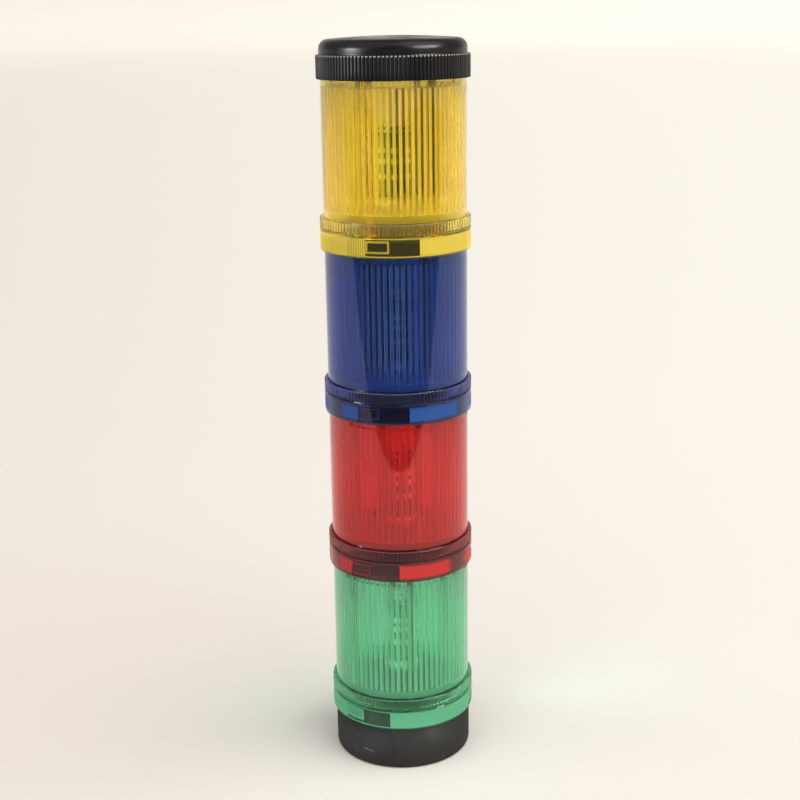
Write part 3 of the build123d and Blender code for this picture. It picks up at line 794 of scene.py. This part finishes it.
def stripe_wave(bearing):
    """A slow wave from 0 to 1 that peaks three times round the axis: the flutes stand out most
    at its peaks, and the wall is hazy between them."""
    wave = 0.7 + 1.1 * np.cos(np.radians(3.0 * (bearing - STRIPE_MIDDLE)))
    return np.clip(wave, 0.0, 1.0)[:, None]


lens_wave = stripe_wave(lens_bearing)
collar_wave = stripe_wave(collar_bearing)


def crest(unit):
    """1 on the crests of the flutes and 0 in the valleys; the crests are narrowest at the wave's
    peaks."""
    edge = WIDE_CREST + (NARROW_CREST[unit] - WIDE_CREST) * lens_wave
    return reach * smooth_step(edge - to_rib, -CREST_SLOPE, CREST_SLOPE)


def flute_glow(unit):
    """Share of scattered light at each point of a lens: the flutes differ a little from one to
    the next, the plain foot scatters as one, and the whole bore has the unit's own haze."""
    share = draw.uniform(0.7, 1.0, RIB_COUNT)[rib_number][:, None]
    haze = LENS_HAZE[unit] + (SIDE_HAZE[unit] - LENS_HAZE[unit]) * (1.0 - lens_wave)
    haze = haze + (FOOT_HAZE[unit] - haze) * smooth_step(-lens_height, -27.0, -19.0)
    glow = np.maximum(crest(unit) * share * FLUTE_GLOW[unit], foot * FOOT_GLOW)
    return np.maximum(glow, haze * fluted_bore)


def valley_shade(unit):
    """Painted shade in the valleys between the flutes, each by its own draw and deepest at the
    stripe wave's peaks. A line where the flutes end at the top gets painted shade too, and so does
    the plain ring above it."""
    share = draw.uniform(0.25, 1.0, RIB_COUNT)[valley_number][:, None]
    dark = np.minimum(VALLEY_SHADE[unit] * share, 1.0) * lens_wave
    valleys = dark * fluted_bore * (lens_height < VALLEY_TOP) * (1.0 - crest(unit))
    flute_end = END_SHADE * in_bore * (np.abs(lens_height - FLUTE_END) < 0.1)
    return valleys + flute_end + RING_SHADE * in_bore * (lens_height > RING_START)


def collar_marks(unit):
    """Marks of a collar: its panels and frames scatter light, its pockets get painted shade, and so
    do its panes where they don't scatter, and its grip is dulled, lined and given painted shade
    that is deepest at the stripe wave's peaks."""
    panel, inner, frame_form, pocket, pane, grip, patch = collar_forms.values()
    panels = PANEL_GLOW[unit] * (panel + PANEL_INSET[unit] * (inner - panel))
    window_glow = FRAME_GLOW[unit] * frame_form + PANE_GLOW[unit] * pane
    # Panes that don't scatter get painted shade, as the pockets do
    dark_pane = pane * (PANE_GLOW[unit] == 0.0)
    return {
        "glow": panels + window_glow, "blur": grip,
        # Painted shade: pockets, panes that don't scatter, and the grip, most at the stripe wave's peaks
        "shade": pocket + dark_pane + GRIP_SHADE * grip * collar_wave,
        "lined": POCKET_LINES * (pocket + dark_pane) + GRIP_LINES * grip - PATCH_LINES[unit] * patch,
    }


for index, unit in enumerate(UNITS):
    lift, turn = place(index)
    points = polar_points(lens_bearing, lens_radius, lens_height, turn, lift).reshape(-1, 3)
    # The lens's shade mark is painted shade in its valleys, at the flutes' upper ends and on the ring above
    marks = {"glow": flute_glow(unit), "shade": valley_shade(unit)}
    lens = add_piece(f"{unit}_lens_tube", points, lens_quads.tolist(), lens_clear[unit], marks=marks)
    stand_in(lens, f"{unit}_unit", f"{unit}_lens")
    points = polar_points(collar_bearing, collar_radius, collar_height, turn, lift).reshape(-1, 3)
    ring = add_piece(
        f"{unit}_grip_collar", points, collar_quads.tolist(), collar_clear[unit],
        marks=collar_marks(unit))
    stand_in(ring, f"{unit}_unit", f"{unit}_collar")

cap_bearing, cap_radius, cap_height, cap_marks = cap_surface()
lift, turn = place(4)
cap_points = polar_points(cap_bearing, cap_radius, cap_height, turn, lift)
cap_points, cap_faces = with_poles(
    cap_points, len(cap_bearing), cap_radius.shape[1],
    (0.0, 0.0, lift + CAP_TOP), (0.0, 0.0, lift + HOLLOW_TOP))
cap_marks = {mark: np.append(values.ravel(), [0.0, 0.0]) for mark, values in cap_marks.items()}
cap = add_piece("top_cap", cap_points, cap_faces, FINISHES["cap_plastic"], marks=cap_marks)
stand_in(cap, "cap", "cap")


def smooth_copy(node, name, slot, sharp_degrees=35.0):
    """A copy of a node's mesh with its points merged, so that its round faces shade smoothly."""
    work = bmesh.new()
    work.from_mesh(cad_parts[node].data)
    bmesh.ops.remove_doubles(work, verts=work.verts, dist=0.002 * MM)
    mesh = bpy.data.meshes.new(name)
    work.to_mesh(mesh)
    work.free()
    mesh.shade_smooth()
    mesh.set_sharp_from_angle(angle=math.radians(sharp_degrees))
    mesh.materials.clear()
    mesh.materials.append(FINISHES[slot])
    return add_object(name, mesh)


base = smooth_copy("base_housing", "base_cup", "base_plastic")
stand_in(base, "base", "base_housing")


# Stage, light and camera

# Height that the soft boxes face, and the photograph's focal length and width in pixels
CAP_AIM = 0.34
FOCAL_PIXELS = 1408.08
FRAME_PIXELS = 800.0
SENSOR_WIDTH = 36.0


def sweep():
    """Floor and backdrop as one sheet: flat, then a quarter circle, then upright. Its front and
    side edges curl up a little, so that the floor has no end from any side."""
    front, bend_y, side = -6.0, 14.0, 16.0
    bend, tall = 3.0, 7.0
    angle = np.linspace(0.0, math.pi / 2, 25)
    curl_out = np.array([4.0, 2.8, 1.4, 0.0])
    curl_up = np.array([2.0, 0.9, 0.2, 0.0])
    y = np.concatenate([front - curl_out, [0.0, 2.0, 8.0], bend_y + bend * np.sin(angle), [bend_y + bend]])
    y_rise = np.concatenate([curl_up, [0.0, 0.0, 0.0], bend - bend * np.cos(angle), [tall]])
    x = np.concatenate([-side - curl_out, side + curl_out[::-1]])
    x_rise = np.concatenate([curl_up, curl_up[::-1]])
    z = np.maximum(x_rise[:, None], y_rise[None, :])
    points = np.stack(np.broadcast_arrays(x[:, None], y[None, :], z), -1).reshape(-1, 3)
    rows = len(y)
    i = np.arange(len(x) - 1)[:, None] * rows
    j = np.arange(rows - 1)[None, :]
    quads = np.stack([i + j, i + j + rows, i + j + rows + 1, i + j + 1], -1).reshape(-1, 4)
    sheet = add_piece("studio_sweep", points / MM, quads.tolist(), floor_finish("studio_paper"), 60.0)


def way_to(bearing, rise):
    """The direction of a bearing and a height, both in degrees."""
    around, upward = math.radians(bearing), math.radians(rise)
    level = math.cos(upward)
    return Vector((math.sin(around) * level, -math.cos(around) * level, math.sin(upward)))


def add_light(name, kind, energy, tint, way):
    """A light of a kind, turned so that it shines from a direction."""
    light = bpy.data.lights.new(name, kind)
    light.energy = energy
    light.color = tint
    holder = add_object(name, light)
    holder.rotation_euler = way.to_track_quat("Z", "Y").to_euler()
    return light, holder


def soft_sun(name, bearing, rise, spread_degrees, strength, tint):
    """Even light from a bearing and a height in degrees, as soft as a source of such a spread."""
    sun, _ = add_light(name, "SUN", strength, tint, way_to(bearing, rise))
    sun.angle = math.radians(spread_degrees)


def soft_box(name, bearing, rise, distance, size, watts, tint):
    """A lamp that faces the cap from a bearing, a height in degrees and a distance, and adds only
    its own reflection."""
    way = way_to(bearing, rise)
    lamp, holder = add_light(name, "AREA", watts, tint, way)
    lamp.shape = "RECTANGLE"
    lamp.size, lamp.size_y = size
    holder.location = Vector((0.0, 0.0, CAP_AIM)) + way * distance
    holder.visible_diffuse = False
    holder.visible_transmission = False


def dark_card():
    """A dark card just above the floor, from a little before the tower to well behind the
    camera: only reflections meet it."""
    near, far, side, lift = -0.48, -4.0, 4.5, 0.004
    points = np.array([[-side, far, lift], [side, far, lift], [side, near, lift], [-side, near, lift]])
    look = Finish("card")
    weave = look.noise(3.0, 3.0)
    card = add_piece("dark_card", points / MM, [[0, 1, 2, 3]], look.finish(look.shader(
        Base_Color=look.mix(weave, (0.03, 0.03, 0.03), (0.05, 0.048, 0.045)), Roughness=0.9,
        Normal=look.bump(weave, 0.1, 0.3))))
    card.visible_camera = False
    card.visible_diffuse = False
    card.visible_transmission = False
    card.visible_shadow = False


def camera():
    """The camera of the photograph: its place, its focal length, and its pitch, yaw and roll in
    radians."""
    pitch, yaw, roll = 0.27, 0.0013, -0.0153
    forward = Vector((
        math.sin(yaw) * math.cos(pitch), math.cos(yaw) * math.cos(pitch), -math.sin(pitch)))
    level = Vector((math.cos(yaw), -math.sin(yaw), 0.0))
    above = level.cross(forward)
    right = level * math.cos(roll) + above * math.sin(roll)
    up = above * math.cos(roll) - level * math.sin(roll)
    data = bpy.data.cameras.new("camera")
    data.sensor_width = SENSOR_WIDTH
    data.lens = SENSOR_WIDTH * FOCAL_PIXELS / FRAME_PIXELS
    data.clip_end = 50.0
    holder = add_object("camera", data)
    turn = Matrix((right, up, -forward)).transposed().to_4x4()
    holder.matrix_world = Matrix.Translation((0.0, -0.65202, 0.35910)) @ turn
    bpy.context.scene.camera = holder


sweep()
dark_card()
soft_sun("key_sun", 62.0, 52.0, 60.0, 2.0, (1.0, 0.985, 0.945))
soft_sun("fill_sun", -50.0, 50.0, 70.0, 1.0, (0.98, 0.99, 1.0))
soft_box("left_box", -65.0, 7.0, 1.3, (0.36, 0.145), 22.0, (0.86, 0.92, 1.0))
soft_box("right_box", 55.0, 24.0, 1.5, (0.95, 0.45), 40.0, (1.0, 0.99, 0.96))
camera()

world = bpy.data.worlds.new("studio")
world.use_nodes = True
world.node_tree.nodes["Background"].inputs["Color"].default_value = (0.90, 0.88, 0.84, 1.0)
world.node_tree.nodes["Background"].inputs["Strength"].default_value = 0.42
bpy.context.scene.world = world
bpy.context.scene.view_settings.view_transform = "Standard"
